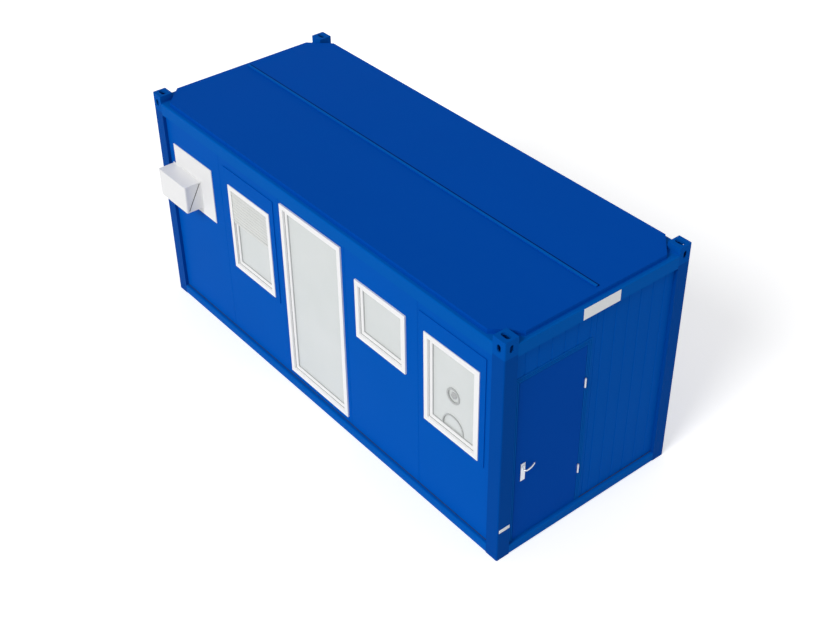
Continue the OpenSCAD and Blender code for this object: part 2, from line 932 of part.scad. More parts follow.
// Back plate and bent lever on one face of the leaf, drawn for a face at x = 0 facing +X
module handle_set() {
    bend = handle_reach - lever_bend;
    translate([0, 0, -plate_drop])
        block([0, -plate_w / 2, -plate_h / 2], [handle_plate_t, plate_w / 2, plate_h / 2]);
    rotate([0, 90, 0]) cylinder(h = bend, r = lever_r);
    translate([bend, lever_bend, 0]) rotate([0, 0, -90])
        rotate_extrude(angle = 90) translate([lever_bend, 0]) circle(r = lever_r);
    translate([handle_reach - lever_curve, lever_bend, 0])
        rotate_extrude(angle = lever_angle) translate([lever_curve, 0]) circle(r = lever_r);
}

module door_handles() {
    y = leaf_y0 + handle_edge;
    z = leaf_bottom + handle_rise;
    color("silver") {
        translate([leaf_front, y, z]) handle_set();
        translate([leaf_front - leaf_t, y, z]) mirror([1, 0, 0]) handle_set();
    }
}

floor_beams();
corner_feet();
floor_cross_members();
underfloor_sheet();
floor_board();
floor_covering();
color(blue) corner_mirror(-1, -1) post();  // post_front_left
color(blue) corner_mirror(1, -1) post();  // post_front_right
color(blue) corner_mirror(-1, 1) post();  // post_rear_left
color(blue) corner_mirror(1, 1) post();  // post_rear_right
corner_castings();
roof_rails();
roof_corner_plates();
roof_sheet();
ceiling_board();
front_panel(1);  // front_panel_1
front_panel(2);  // front_panel_2
front_panel(3);  // front_panel_3
front_panel(4);  // front_panel_4
front_panel(5);  // front_panel_5
rear_panel(1);  // rear_panel_1
rear_panel(2);  // rear_panel_2
rear_panel(3);  // rear_panel_3
rear_panel(4);  // rear_panel_4
rear_panel(5);  // rear_panel_5
left_panel(1);  // left_panel_1
left_panel(2);  // left_panel_2
right_panel();
door_panel_sides();
door_panel_head();
window_frames();
window_sashes();
window_panes();
window_plates();
service_trims();
shutter_boxes();
shutter_curtains();
infill_board();
air_unit();
door_frame();
hinge_frame_halves();
hinge_leaf_halves();
door_leaf();
door_handles();
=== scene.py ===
import math

import bmesh
import bpy
from mathutils import Matrix, Vector


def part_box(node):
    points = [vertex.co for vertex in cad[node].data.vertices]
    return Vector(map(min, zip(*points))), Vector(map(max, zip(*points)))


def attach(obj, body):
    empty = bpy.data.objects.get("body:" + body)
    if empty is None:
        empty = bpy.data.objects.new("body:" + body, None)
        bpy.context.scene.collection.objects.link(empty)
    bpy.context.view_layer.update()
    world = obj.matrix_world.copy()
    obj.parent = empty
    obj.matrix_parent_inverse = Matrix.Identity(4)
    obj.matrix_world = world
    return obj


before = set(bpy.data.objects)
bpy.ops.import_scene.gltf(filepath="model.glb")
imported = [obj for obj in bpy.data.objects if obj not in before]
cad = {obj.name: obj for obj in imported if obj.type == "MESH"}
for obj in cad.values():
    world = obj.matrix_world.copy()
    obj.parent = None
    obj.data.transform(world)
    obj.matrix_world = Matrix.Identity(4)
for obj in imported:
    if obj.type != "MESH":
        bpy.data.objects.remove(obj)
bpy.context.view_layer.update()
print("frame loaded:", len(cad), "nodes")


class Value:
    # one output socket; + - * and > each add a Math node
    def __init__(self, shader, socket):
        self.shader = shader
        self.socket = socket

    def calculated(self, operation, other):
        return self.shader.node("Math", {0: self, 1: other}, operation=operation)

    def __add__(self, other):
        return self.calculated("ADD", other)

    def __sub__(self, other):
        return self.calculated("SUBTRACT", other)

    def __mul__(self, other):
        return self.calculated("MULTIPLY", other)

    def __gt__(self, other):
        return self.calculated("GREATER_THAN", other)

    def clamp(self):
        return self.shader.node("Clamp", {"Value": self})


class Shader:
    # a material, or the world, under construction
    def __init__(self, owner):
        owner.use_nodes = True
        self.owner = owner
        self.tree = owner.node_tree
        self.tree.nodes.clear()
        self.place = self.node("TexCoord", output="Object")
        split = self.node("SeparateXYZ", {0: self.place})
        self.x, self.y, self.z = (
            Value(self, socket) for socket in split.socket.node.outputs
        )

    def node(self, kind, inputs=None, output=0, stops=None, **settings):
        # settings first, then the stops of a ramp, then sockets by name or number
        new = self.tree.nodes.new("ShaderNode" + kind)
        for key, setting in settings.items():
            setattr(new, key, setting)
        if stops:
            ramp = new.color_ramp.elements
            while len(ramp) < len(stops):
                ramp.new(0.5)
            for element, (position, colour) in zip(ramp, stops):
                element.position = position
                element.color = colour
        for key, value in (inputs or {}).items():
            if isinstance(value, Value):
                self.tree.links.new(value.socket, new.inputs[key])
            else:
                new.inputs[key].default_value = value
        return Value(self, new.outputs[output]) if new.outputs else None

    def noise(self, scale, detail=3.0, stretch=(1, 1, 1), roughness=0.5):
        at = self.node("Mapping", {"Vector": self.place, "Scale": stretch})
        return self.node(
            "TexNoise",
            {"Vector": at, "Scale": scale, "Detail": detail, "Roughness": roughness},
        )

    def mix(self, factor, first, second):
        inputs = {0: factor, 6: first, 7: second}
        return self.node("Mix", inputs, output=2, data_type="RGBA", blend_type="MIX")

    def bump(self, height, depth, strength=1.0, under=None):
        inputs = {"Height": height, "Distance": depth, "Strength": strength}
        if under:
            inputs["Normal"] = under
        return self.node("Bump", inputs)

    def finish(self, **sockets):
        names = {key.replace("_", " "): value for key, value in sockets.items()}
        surface = self.node("BsdfPrincipled", names)
        self.node("OutputMaterial", {"Surface": surface})
        return self.owner


def newFinish(name):
    return Shader(bpy.data.materials.new(name))


def rgb(red, green, blue):
    # a screen colour, 0 to 255, as the linear colour that a shader takes
    parts = [part / 255 for part in (red, green, blue)]
    return tuple(
        part / 12.92 if part < 0.04045 else ((part + 0.055) / 1.055) ** 2.4
        for part in parts
    ) + (1,)


def grey(level):
    return (level, level, level, 1)


def shade(colour, factor):
    return tuple(part * factor for part in colour[:3]) + (1,)


# finishes; the blues as they show on screen in plain light, except the post's, which holds painted
# shade
paintTones = {
    "panel": rgb(0, 87, 185),
    "frame": rgb(1, 92, 184),
    # darker than the frame blue: halfway between the posts' lit tops and shaded feet, partly
    # painted shade
    "post": rgb(1, 73, 160),
    "roof": rgb(0, 76, 176),
    "door": rgb(0, 75, 175),
    "casting": rgb(0, 86, 180),
}
paintGloss = 0.005  # specular level of the blue coats, low so that the blue stays deep
panelFinish = {"sheet": 0.0052, "core": 0.048}  # depths where the wool and the board start
boardWhite = rgb(236, 236, 234)


def blueCoat(shader, tone, wear=0.05):
    # sheet coating with a slow change of tone and fine dust
    slow = shader.noise(0.9, 2.0)
    fine = shader.noise(34.0, 4.0)
    blend = (slow * 0.7 + fine * 0.3 - 0.35).clamp()
    low = shade(tone, 1 - wear * 1.4)
    high = shade(tone, 1 + wear)
    return shader.mix(blend, low, high)


def paintedSteel(name, tone, rough=0.38):
    s = newFinish(name)
    colour = blueCoat(s, tone)
    peel = s.noise(160.0, 2.0)
    drift = s.noise(6.0, 3.0)
    return s.finish(
        Base_Color=colour,
        Roughness=drift * 0.12 + (rough - 0.06),
        Normal=s.bump(peel, 0.00025, 0.6),
        Specular_IOR_Level=paintGloss,
    )


def castSteel(name, tone):
    s = newFinish(name)
    colour = blueCoat(s, tone, 0.08)
    skin = s.noise(90.0, 5.0, roughness=0.65)
    return s.finish(
        Base_Color=colour,
        Roughness=skin * 0.2 + 0.35,
        Normal=s.bump(skin, 0.0012, 0.5),
        Specular_IOR_Level=paintGloss,
    )


def roofSheet(name, tone):
    # long shallow buckles of a thin sheet, and the dust that lies on it
    s = newFinish(name)
    buckle = s.noise(1.1, 2.0, stretch=(0.5, 1.0, 1.0))
    dust = (s.noise(7.0, 5.0) - 0.45).clamp()
    colour = s.mix(dust * 0.12, blueCoat(s, tone, 0.03), rgb(30, 100, 180))
    return s.finish(
        Base_Color=colour,
        Roughness=dust * 0.4 + 0.4,
        Normal=s.bump(buckle, 0.012, 0.35, s.bump(s.noise(150.0, 2.0), 0.0002, 0.5)),
        Specular_IOR_Level=paintGloss,
    )


def wallPanel(name, axis, face, outside):
    # blue sheet outside, yellow wool where the core shows, white board inside
    s = newFinish(name)
    along = s.x if axis == "x" else s.y
    depth = (along - face) * (-outside)
    blue = blueCoat(s, paintTones["panel"])
    wool = s.mix(s.noise(120.0, 4.0), rgb(214, 176, 44), rgb(238, 208, 82))
    board = s.mix(s.noise(3.0, 2.0), boardWhite, rgb(230, 230, 229))
    core = s.mix(depth > panelFinish["core"], wool, board)
    colour = s.mix(depth > panelFinish["sheet"], blue, core)
    peel = s.bump(s.noise(160.0, 2.0), 0.00025, 0.5)
    return s.finish(
        Base_Color=colour,
        Roughness=(depth > panelFinish["sheet"]) * 0.15 + 0.38,
        Normal=peel,
        Specular_IOR_Level=paintGloss,
    )


def whitePlastic(name, tone=(243, 243, 243), rough=0.35):
    s = newFinish(name)
    base = rgb(*tone)
    colour = s.mix(s.noise(2.5, 3.0), shade(base, 0.96), base)
    return s.finish(
        Base_Color=colour,
        Roughness=s.noise(12.0, 3.0) * 0.12 + rough,
        Normal=s.bump(s.noise(220.0, 2.0), 0.0001, 0.5),
    )


def paneGlass(name):
    # insulating glass, its pale colour a painted reflection of bright surroundings, so that the
    # room only shows dimly through it
    s = newFinish(name)
    paleReflection = s.noise(1.6, 3.0)
    # painted reflection: pale tones in place of the surroundings mirrored in the pane
    colour = s.mix(paleReflection, rgb(224, 230, 228), rgb(237, 240, 239))
    return s.finish(Base_Color=colour, Roughness=paleReflection * 0.05 + 0.06, Alpha=0.8, IOR=1.5)


def floorVinyl(name):
    # streaks along the cabin in three greys
    s = newFinish(name)
    streak = s.noise(5.0, 6.0, stretch=(0.25, 1.6, 1.0), roughness=0.6)
    blot = s.noise(1.4, 4.0)
    tone = (streak * 0.65 + blot * 0.35).clamp()
    greys = [
        (0.30, rgb(150, 151, 153)),
        (0.52, rgb(188, 188, 189)),
        (0.72, rgb(212, 211, 209)),
    ]
    colour = s.node("ValToRGB", {0: tone}, stops=greys)
    return s.finish(
        Base_Color=colour,
        Roughness=streak * 0.2 + 0.4,
        Normal=s.bump(streak, 0.0006, 0.4),
    )


def rawBoard(name):
    s = newFinish(name)
    at = s.node("Mapping", {"Vector": s.place, "Scale": (1, 2.5, 1)})
    flake = s.node("TexVoronoi", {"Vector": at, "Scale": 40.0}, output="Color")
    wood = s.mix(s.noise(30.0), rgb(150, 118, 76), rgb(196, 166, 118))
    colour = s.mix(0.35, wood, flake)
    return s.finish(Base_Color=colour, Roughness=0.75, Normal=s.bump(s.noise(80.0), 0.001))


def galvanised(name):
    s = newFinish(name)
    spangle = s.node("TexVoronoi", {"Vector": s.place, "Scale": 60.0}, output="Distance")
    colour = s.mix(spangle, rgb(150, 156, 160), rgb(196, 200, 204))
    return s.finish(Base_Color=colour, Metallic=0.85, Roughness=spangle * 0.3 + 0.4)


def satinMetal(name):
    s = newFinish(name)
    grain = s.noise(220.0, 3.0, stretch=(1.0, 1.0, 0.08))
    colour = s.mix(grain, rgb(206, 210, 214), rgb(232, 235, 238))
    return s.finish(
        Base_Color=colour,
        Metallic=0.9,
        Roughness=grain * 0.15 + 0.26,
        Normal=s.bump(grain, 0.0001, 0.4),
    )


def paintedHinge(name, flapFace):
    # bright knuckle; the flaps, which lie inside flapFace, are painted over with the door
    s = newFinish(name)
    bare = s.x > flapFace
    grain = s.noise(220.0, 3.0)
    bright = s.mix(grain, rgb(214, 218, 222), rgb(236, 238, 240))
    return s.finish(
        Base_Color=s.mix(bare, blueCoat(s, paintTones["door"]), bright),
        Metallic=bare * 0.6,
        Roughness=grain * 0.1 + 0.34,
        Specular_IOR_Level=0.05,
    )


def rubber(name, dark=(22, 23, 25), light=(38, 39, 41)):
    s = newFinish(name)
    colour = s.mix(s.noise(60.0), rgb(*dark), rgb(*light))
    return s.finish(Base_Color=colour, Roughness=0.7, Normal=s.bump(s.noise(300.0), 0.0002))


def shutterPlastic(name, dark=(204, 206, 203), light=(216, 218, 215)):
    s = newFinish(name)
    colour = s.mix(s.noise(4.0, 3.0), rgb(*dark), rgb(*light))
    return s.finish(
        Base_Color=colour,
        Roughness=s.noise(40.0) * 0.1 + 0.42,
        Normal=s.bump(s.noise(140.0), 0.0002, 0.4),
    )


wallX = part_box("right_panel")[1].x
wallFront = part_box("front_panel_1")[0].y
wallRear = -wallFront
hingeFlaps = 2.9962  # x just outside the flaps of the door's hinges
frameSteel = paintedSteel("frame_paint", paintTones["frame"])
# painted shade: the darker post blue on the posts and corner feet
postShadedSteel = paintedSteel("post_paint_shaded", paintTones["post"])
doorPaint = paintedSteel("door_paint", paintTones["door"], rough=0.42)
castPaint = castSteel("casting_paint", paintTones["casting"])
roofPaint = roofSheet("roof_paint", paintTones["roof"])
frontPanel = wallPanel("front_panel_finish", "y", wallFront, -1)
rearPanel = wallPanel("rear_panel_finish", "y", wallRear, 1)
rightPanel = wallPanel("right_panel_finish", "x", wallX, 1)
leftPanel = wallPanel("left_panel_finish", "x", -wallX, -1)
platePaint = paintedSteel("plate_paint", paintTones["panel"])
white = whitePlastic("white_plastic")
unitWhite = whitePlastic("unit_white", (236, 236, 236))
boardFinish = whitePlastic("white_board", (234, 234, 233), 0.45)
glass = paneGlass("pane_glass")
vinyl = floorVinyl("floor_vinyl")
boardRaw = rawBoard("raw_board")
zinc = galvanised("galvanised")
metal = satinMetal("satin_metal")
hingeMetal = paintedHinge("hinge_metal", hingeFlaps)
seal = rubber("seal_rubber")
shutter = shutterPlastic("shutter_slats")
trimGrey = shutterPlastic("trim_grey", (168, 171, 170), (180, 183, 182))

finishes = {
    frameSteel: ["floor_beams", "roof_rails", "roof_corner_plates", "door_frame"],
    postShadedSteel: ["corner_feet"] + [name for name in cad if name.startswith("post_")],
    castPaint: ["corner_castings"],
    roofPaint: ["roof_sheet"],
    doorPaint: ["door_leaf"],
    platePaint: ["window_plates"],
    rightPanel: ["right_panel", "door_panel_sides", "door_panel_head"],
    leftPanel: ["left_panel_1", "left_panel_2"],
    frontPanel: [f"front_panel_{i}" for i in range(1, 6)],
    rearPanel: [f"rear_panel_{i}" for i in range(1, 6)],
    white: ["window_frames", "window_sashes", "shutter_boxes"],
    unitWhite: ["air_unit", "infill_board"],
    boardFinish: ["ceiling_board"],
    glass: ["window_panes"],
    vinyl: ["floor_covering"],
    boardRaw: ["floor_board"],
    zinc: ["floor_cross_members", "underfloor_sheet"],
    metal: ["door_handles"],
    hingeMetal: ["hinge_frame_halves", "hinge_leaf_halves"],
    shutter: ["shutter_curtains"],
    trimGrey: ["service_trims"],
}
for material, names in finishes.items():
    for name in names:
        mesh = cad[name].data
        for index in range(len(mesh.materials)):
            mesh.materials[index] = material
        if not mesh.materials:
            mesh.materials.append(material)
print("finishes on", sum(len(names) for names in finishes.values()), "nodes")


rounding = {
    "weld": 0.00005,  # corners nearer than this become one
    "flat": math.radians(1),  # faces that meet at less than this become one
    "sharp": math.radians(40),  # edges sharper than this are rounded
    "steps": 2,
}
edgeRounds = {
    "air_unit": 0.004,
    "infill_board": 0.002,
    "window_frames": 0.002,
    "window_sashes": 0.0015,
    "door_leaf": 0.0015,
    "window_plates": 0.0012,
    "shutter_boxes": 0.004,
}


def softened(name, width):
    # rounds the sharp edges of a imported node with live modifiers; its own mesh stays as it is
    node = cad[name]
    weld = node.modifiers.new("weld", "WELD")
    weld.merge_threshold = rounding["weld"]
    flat = node.modifiers.new("flat_faces", "DECIMATE")
    flat.decimate_type = "DISSOLVE"
    flat.angle_limit = rounding["flat"]
    edge = node.modifiers.new("rounded_edges", "BEVEL")
    edge.width = width
    edge.segments = rounding["steps"]
    edge.limit_method = "ANGLE"
    edge.angle_limit = rounding["sharp"]
    edge.use_clamp_overlap = True


for name, width in edgeRounds.items():
    softened(name, width)
print("edges rounded on", len(edgeRounds), "nodes")


# modelling by hand
tiny = 0.00001  # corners nearer than this count as one
widestEdge = 0.45  # share of a block's thinnest side that a rounded edge may take
longFace = 0.25  # faces with a longer edge stay flat: smooth shading turns them dark


def deselect():
    if bpy.context.mode != "OBJECT":
        bpy.ops.object.mode_set(mode="OBJECT")
    bpy.ops.object.select_all(action="DESELECT")


def choose(piece):
    deselect()
    piece.select_set(True)
    bpy.context.view_layer.objects.active = piece


def edit(piece, kind="FACE"):
    choose(piece)
    bpy.ops.object.mode_set(mode="EDIT")
    bpy.ops.mesh.select_mode(type=kind)
    bpy.ops.mesh.select_all(action="DESELECT")


def pick(piece, test, kind="faces"):
    # selects what passes the test, by place or normal
    mesh = bmesh.from_edit_mesh(piece.data)
    for element in getattr(mesh, kind):
        if test(element):
            element.select_set(True)
    bmesh.update_edit_mesh(piece.data)


def middle(line):
    # middle of an edge
    return (line.verts[0].co + line.verts[1].co) / 2


def straight(line):
    # an edge that runs along or up, not over a mitre
    step = line.verts[1].co - line.verts[0].co
    return min(abs(step.x), abs(step.z)) < tiny


def placed(piece):
    # puts the place, turn and scale of a piece into its mesh
    choose(piece)
    bpy.ops.object.transform_apply(location=True, rotation=True, scale=True)
    return piece


def close(piece):
    # joins corners that lie on each other and turns the faces outwards
    edit(piece)
    bpy.ops.mesh.select_all(action="SELECT")
    bpy.ops.mesh.remove_doubles(threshold=tiny)
    bpy.ops.mesh.normals_make_consistent(inside=False)
    bpy.ops.object.mode_set(mode="OBJECT")


def block(low, high, edge, steps=2):
    # a box from its low to its high corner, with its edges rounded
    deselect()
    size = Vector(high) - Vector(low)
    bpy.ops.mesh.primitive_cube_add(size=1, location=(Vector(low) + Vector(high)) / 2)
    piece = bpy.context.object
    piece.scale = size
    placed(piece)
    edit(piece, "EDGE")
    bpy.ops.mesh.select_all(action="SELECT")
    offset = min(edge, min(size) * widestEdge)
    bpy.ops.mesh.bevel(offset=offset, segments=steps, affect="EDGES")
    bpy.ops.object.mode_set(mode="OBJECT")
    return piece


def hoop(sides, width, front, back, edge=0.0, inner=0.0):
    # a flat frame: a plane inset, its middle taken out, then drawn to its depth.
    # sides are left, right, low and high; front and back are depths into the wall;
    # edge rounds the front edges, inner chamfers the front edge next to the opening
    left, right, low, high = sides
    deselect()
    bpy.ops.mesh.primitive_plane_add(
        size=1,
        location=((left + right) / 2, front, (low + high) / 2),
        rotation=(math.pi / 2, 0, 0),
    )
    piece = bpy.context.object
    piece.scale = (right - left, high - low, 1)
    placed(piece)
    edit(piece)
    bpy.ops.mesh.select_all(action="SELECT")
    bpy.ops.mesh.inset(thickness=width, depth=0)
    bpy.ops.mesh.delete(type="FACE")
    bpy.ops.mesh.select_all(action="SELECT")
    bpy.ops.mesh.extrude_region_move(
        TRANSFORM_OT_translate={"value": (0, back - front, 0)}
    )
    bpy.ops.mesh.select_all(action="SELECT")
    bpy.ops.mesh.normals_make_consistent(inside=False)

    def atFront(line):
        return straight(line) and all(abs(end.co.y - front) < tiny for end in line.verts)

    def nextToOpening(line):
        spot, gap = middle(line), width / 2
        return left + gap < spot.x < right - gap and low + gap < spot.z < high - gap

    for offset, steps, test in (
        (inner, 1, lambda line: atFront(line) and nextToOpening(line)),
        (edge, 2, atFront),
    ):
        if offset:
            bpy.ops.mesh.select_mode(type="EDGE")
            bpy.ops.mesh.select_all(action="DESELECT")
            pick(piece, test, "edges")
            bpy.ops.mesh.bevel(offset=offset, segments=steps)
    bpy.ops.object.mode_set(mode="OBJECT")
    return piece


def rod(start, end, radius, sides, edge):
    # a bar with its rims rounded
    deselect()
    run = Vector(end) - Vector(start)
    bpy.ops.mesh.primitive_cylinder_add(
        vertices=sides, radius=radius, depth=run.length, location=(Vector(start) + Vector(end)) / 2
    )
    piece = bpy.context.object
    piece.rotation_euler = run.to_track_quat("Z", "Y").to_euler()
    edit(piece, "EDGE")
    pick(piece, lambda line: abs(middle(line).z) > run.length / 2 - tiny, "edges")
    bpy.ops.mesh.bevel(offset=edge, segments=2)
    bpy.ops.object.mode_set(mode="OBJECT")
    return placed(piece)


def sunk(piece, test, border, depth):
    # the faces that pass the test, inset by the border and moved by the depth along Y
    edit(piece)
    pick(piece, test)
    bpy.ops.mesh.inset(thickness=border, depth=0)
    bpy.ops.mesh.extrude_region_move(TRANSFORM_OT_translate={"value": (0, depth, 0)})
    bpy.ops.object.mode_set(mode="OBJECT")
    return piece


def joined(pieces):
    deselect()
    for piece in pieces:
        piece.select_set(True)
    bpy.context.view_layer.objects.active = pieces[0]
    if len(pieces) > 1:
        bpy.ops.object.join()
    bpy.ops.object.transform_apply(location=True, rotation=True, scale=True)
    return bpy.context.view_layer.objects.active


def copies(model, spots):
    # one model copied to each spot, each copy with its own mesh; the model goes
    made = []
    for spot in spots:
        copy = model.copy()
        copy.data = model.data.copy()
        copy.location = spot
        bpy.context.scene.collection.objects.link(copy)
        made.append(copy)
    bpy.data.objects.remove(model)
    return joined(made)


walls = {  # middle of the outer face at the ground, and its turn from facing -Y
    "front": ((0, wallFront, 0), 0),
    "rear": ((0, wallRear, 0), 180),
    "right": ((wallX, 0, 0), 90),
    "left": ((-wallX, 0, 0), -90),
}
roomFace = 0.060  # depth of the walls' room side behind their outer face


def onWall(piece, wall, along=0.0):
    # puts a piece drawn facing -Y at the origin on a wall
    origin, turn = walls[wall]
    angle = math.radians(turn)
    step = Matrix.Rotation(angle, 3, "Z") @ Vector((along, 0, 0))
    piece.rotation_euler = (0, 0, angle)
    piece.location = Vector(origin) + step
    return placed(piece)


def done(piece, name, material, body="cabin", angle=35):
    # finish, shading, and the body that the piece moves with
    close(piece)
    piece.name = name
    piece.data.name = name
    piece.data.materials.clear()
    piece.data.materials.append(material)
    choose(piece)
    bpy.ops.object.shade_smooth_by_angle(angle=math.radians(angle))
    edit(piece)
    pick(piece, lambda face: max(line.calc_length() for line in face.edges) > longFace)
    bpy.ops.mesh.faces_shade_flat()
    bpy.ops.object.mode_set(mode="OBJECT")
    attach(piece, body)


windows = {  # wall, middle along the wall, width, sill, head, shutter box
    "shutter": ("front", -1.171, 0.810, 1.115, 2.230, True),
    "tall": ("front", 0.0, 1.074, 0.205, 2.490, False),
    "small": ("front", 1.171, 0.810, 1.495, 2.230, False),
    "service": ("front", 2.272, 0.810, 1.115, 2.230, True),
    "left_near": ("left", 0.52625, 0.8105, 1.115, 2.230, True),
    "left_far": ("left", -0.52625, 0.8105, 1.115, 2.230, True),
}
glazing = {  # fronts and backs are depths behind the wall's outer face
    "frameFace": 0.056,
    "frameFront": -0.020,
    "sashFace": 0.044,
    "sashFront": 0.008,
    "sashBack": 0.060,
    "paneFront": 0.022,
    "paneBack": 0.046,
    "paneSeal": (0.006, 0.006, 0.003),  # width, depth and slope
    "sashSeal": (0.005, 0.004, 0.002),
    "beadWidth": 0.018,
    "beadInset": 0.001,  # from the sash's room side
    "beadSlope": 0.009,
    "casingWidth": 0.036,
    "casingDepth": 0.0095,
    "capSize": (0.032, 0.004, 0.009),
    "capPlace": (0.27, 0.42),  # shares of the window's width and of the frame's face
    "tallHandle": 1.05,  # height of the tall window's handle
}


def sidesOf(width, sill, head, inset):
    return (-width / 2 + inset, width / 2 - inset, sill + inset, head - inset)


def windowSeals():
    # rubber round each pane outside, and between frame and sash
    g = glazing
    rings = []
    for wall, along, width, sill, head, box in windows.values():
        for inset, back, (wide, deep, slope) in (
            (g["frameFace"] + g["sashFace"], g["paneFront"], g["paneSeal"]),
            (g["frameFace"], g["sashFront"], g["sashSeal"]),
        ):
            ring = hoop(sidesOf(width, sill, head, inset), wide, back - deep, back, 0, slope)
            rings.append(onWall(ring, wall, along))
    done(joined(rings), "window_seals", sealGrey)


def glazingBeads():
    # the sloped beads that hold each pane from the room side
    g = glazing
    rings = []
    for wall, along, width, sill, head, box in windows.values():
        sides = sidesOf(width, sill, head, g["frameFace"] + g["sashFace"])
        ring = hoop(sides, g["beadWidth"], g["sashBack"] - g["beadInset"], g["paneBack"])
        near = g["beadWidth"] * 0.9
        edit(ring, "EDGE")
        # the room-side edges next to the opening, and the short ones into its corners
        pick(
            ring,
            lambda line: straight(line)
            and middle(line).y > g["paneBack"] + 0.005
            and sides[0] + near < middle(line).x < sides[1] - near
            and sides[2] + near < middle(line).z < sides[3] - near,
            "edges",
        )
        bpy.ops.mesh.bevel(offset=g["beadSlope"], segments=3)
        rings.append(onWall(ring, wall, along))
    done(joined(rings), "glazing_beads", white)


def innerCasings():
    # the raised white border round each window in the room
    g = glazing
    bars = []
    front, back = roomFace, roomFace + g["casingDepth"]
    for wall, along, width, sill, head, box in windows.values():
        a, w = width / 2, g["casingWidth"]
        spans = [
            ((-a - w, front, sill - w), (a + w, back, sill)),
            ((-a - w, front, sill), (-a, back, head)),
            ((a, front, sill), (a + w, back, head)),
        ]
        if not box:
            spans.append(((-a - w, front, head), (a + w, back, head + w)))
        for low, high in spans:
            bars.append(onWall(block(low, high, 0.003), wall, along))
    done(joined(bars), "window_casings", white)


def drainCaps():
    # caps over the drain slots of the frames
    g = glazing
    long, deep, tall = g["capSize"]
    aside, rise = g["capPlace"]
    caps = []
    for wall, along, width, sill, head, box in windows.values():
        z = sill + g["frameFace"] * rise
        for x in (-width * aside, width * aside):
            cap = block(
                (x - long / 2, g["frameFront"] - deep, z - tall / 2),
                (x + long / 2, g["frameFront"] + 0.001, z + tall / 2),
                0.0035,
                3,
            )
            caps.append(onWall(cap, wall, along))
    done(joined(caps), "drain_caps", white)


def windowHandles():
    # turning handles on the room side of the sashes
    g = glazing
    made = []
    for name, (wall, along, width, sill, head, box) in windows.items():
        if name == "service":
            continue
        x = width / 2 - g["frameFace"] - g["sashFace"] / 2
        y = g["sashBack"]
        z = g["tallHandle"] if name == "tall" else (sill + head) / 2
        rose = block((x - 0.014, y, z - 0.032), (x + 0.014, y + 0.010, z + 0.032), 0.004, 3)
        neck = rod((x, y + 0.009, z), (x, y + 0.036, z), 0.008, 20, 0.001)
        low, high = (x - 0.010, y + 0.034, z - 0.118), (x + 0.010, y + 0.046, z + 0.012)
        lever = block(low, high, 0.005, 3)
        made.append(onWall(joined([rose, neck, lever]), wall, along))
    done(joined(made), "window_handles", white)


sealGrey = rubber("seal_grey_rubber", (150, 152, 153), (176, 178, 179))
windowSeals()
glazingBeads()
innerCasings()
drainCaps()
windowHandles()
print("window fittings made")


service = {
    "middle": 2.272,
    "glassFoot": 1.215,
    "ringRise": 0.440,
    "rosette": 0.040,  # radius of the disc
    "discDepths": (0.026, 0.031),  # front and back
    "rimFront": 0.022,
    "rimShare": 0.92,  # radius of the rim, as a share of the disc's
    "slots": 5,
    "slotPitch": 0.012,
    "barHalf": 0.002,
    "barDepths": (0.0225, 0.0245),
    "barReach": 0.8,  # how far out the bars end, as a share of the disc's radius
}


def speakingRosette():
    # slotted disc in the middle of the speaking ring
    v = service
    z = v["glassFoot"] + v["ringRise"]
    face, back = v["discDepths"]
    near, far = v["barDepths"]
    disc = rod((0, face, z), (0, back, z), v["rosette"], 40, 0.0015)
    rim = rod((0, v["rimFront"], z), (0, face, z), v["rosette"] * v["rimShare"], 40, 0.0015)
    sunk(rim, lambda side: side.normal.y < -0.9, 0.005, 0.0025)
    bars = []
    for i in range(v["slots"]):
        x = (i - (v["slots"] - 1) / 2) * v["slotPitch"]
        h = math.sqrt((v["rosette"] * v["barReach"]) ** 2 - x**2)
        low, high = (x - v["barHalf"], near, z - h), (x + v["barHalf"], far, z + h)
        bars.append(block(low, high, 0.0008))
    whole = onWall(joined([disc, rim] + bars), "front", v["middle"])
    done(whole, "speaking_rosette", satinGrey)


satinGrey = whitePlastic("rosette_plastic", (188, 190, 190), 0.3)
speakingRosette()
print("service window fittings made")


unit = {
    "boardMiddle": -2.342,
    "boardWidth": 0.810,
    "board": (1.519, 2.230),
    "face": -0.010,
    "unitMiddle": -0.150,
    "unitWidth": 0.580,
    "unitSpan": (1.610, 1.960),
    "front": -0.230,
    "screw": (0.006, 0.003),  # radius and height
    "screwInset": 0.025,
    "lining": (0.004, 0.030),  # thickness, and the depth where it starts
    "sealWidth": 0.0082,
    "sealPast": 0.008,  # past the sides of the unit
    "sealDepth": 0.010,
    "cheekRim": 0.016,
    "edgeRadius": 0.016,
    "cheekStrip": 0.0045,
    "cheekPress": 0.0035,  # depth of the dark strip's middle inside the cheek's face
    "grille": (0.050, 0.035, 0.010),  # inset at the sides, inset front and back, bar
    "blades": 8,
    "bladeLean": 35,
}


def screwHead(radius, height):
    # pan head with a sunk socket, facing -Y at the origin
    head = rod((0, 0.001, 0), (0, -height, 0), radius, 16, radius * 0.25)
    return sunk(head, lambda side: side.normal.y < -0.99, radius * 0.38, height * 0.6)


def infillScrews():
    v = unit
    a = v["boardWidth"] / 2 - v["screwInset"]
    low, high = v["board"][0] + v["screwInset"], v["board"][1] - v["screwInset"]
    spots = [(x, v["face"], z) for x in (-a, -a / 3, a / 3, a) for z in (low, high)]
    spots += [(x, v["face"], (low + high) / 2) for x in (-a, a)]
    whole = onWall(copies(screwHead(*v["screw"]), spots), "front", v["boardMiddle"])
    done(whole, "infill_screws", unitWhite)


def infillTrim():
    # lining of the opening behind the board, and the border on the room side
    v = unit
    a = v["boardWidth"] / 2
    low, high = v["board"]
    thick, start = v["lining"]
    w = glazing["casingWidth"]
    front = roomFace + glazing["casingDepth"]
    lining = hoop((-a, a, low, high), thick, start, roomFace)
    border = hoop((-a - w, a + w, low - w, high + w), w + thick, front, roomFace)
    whole = onWall(joined([lining, border]), "front", v["boardMiddle"])
    done(whole, "infill_lining", white)


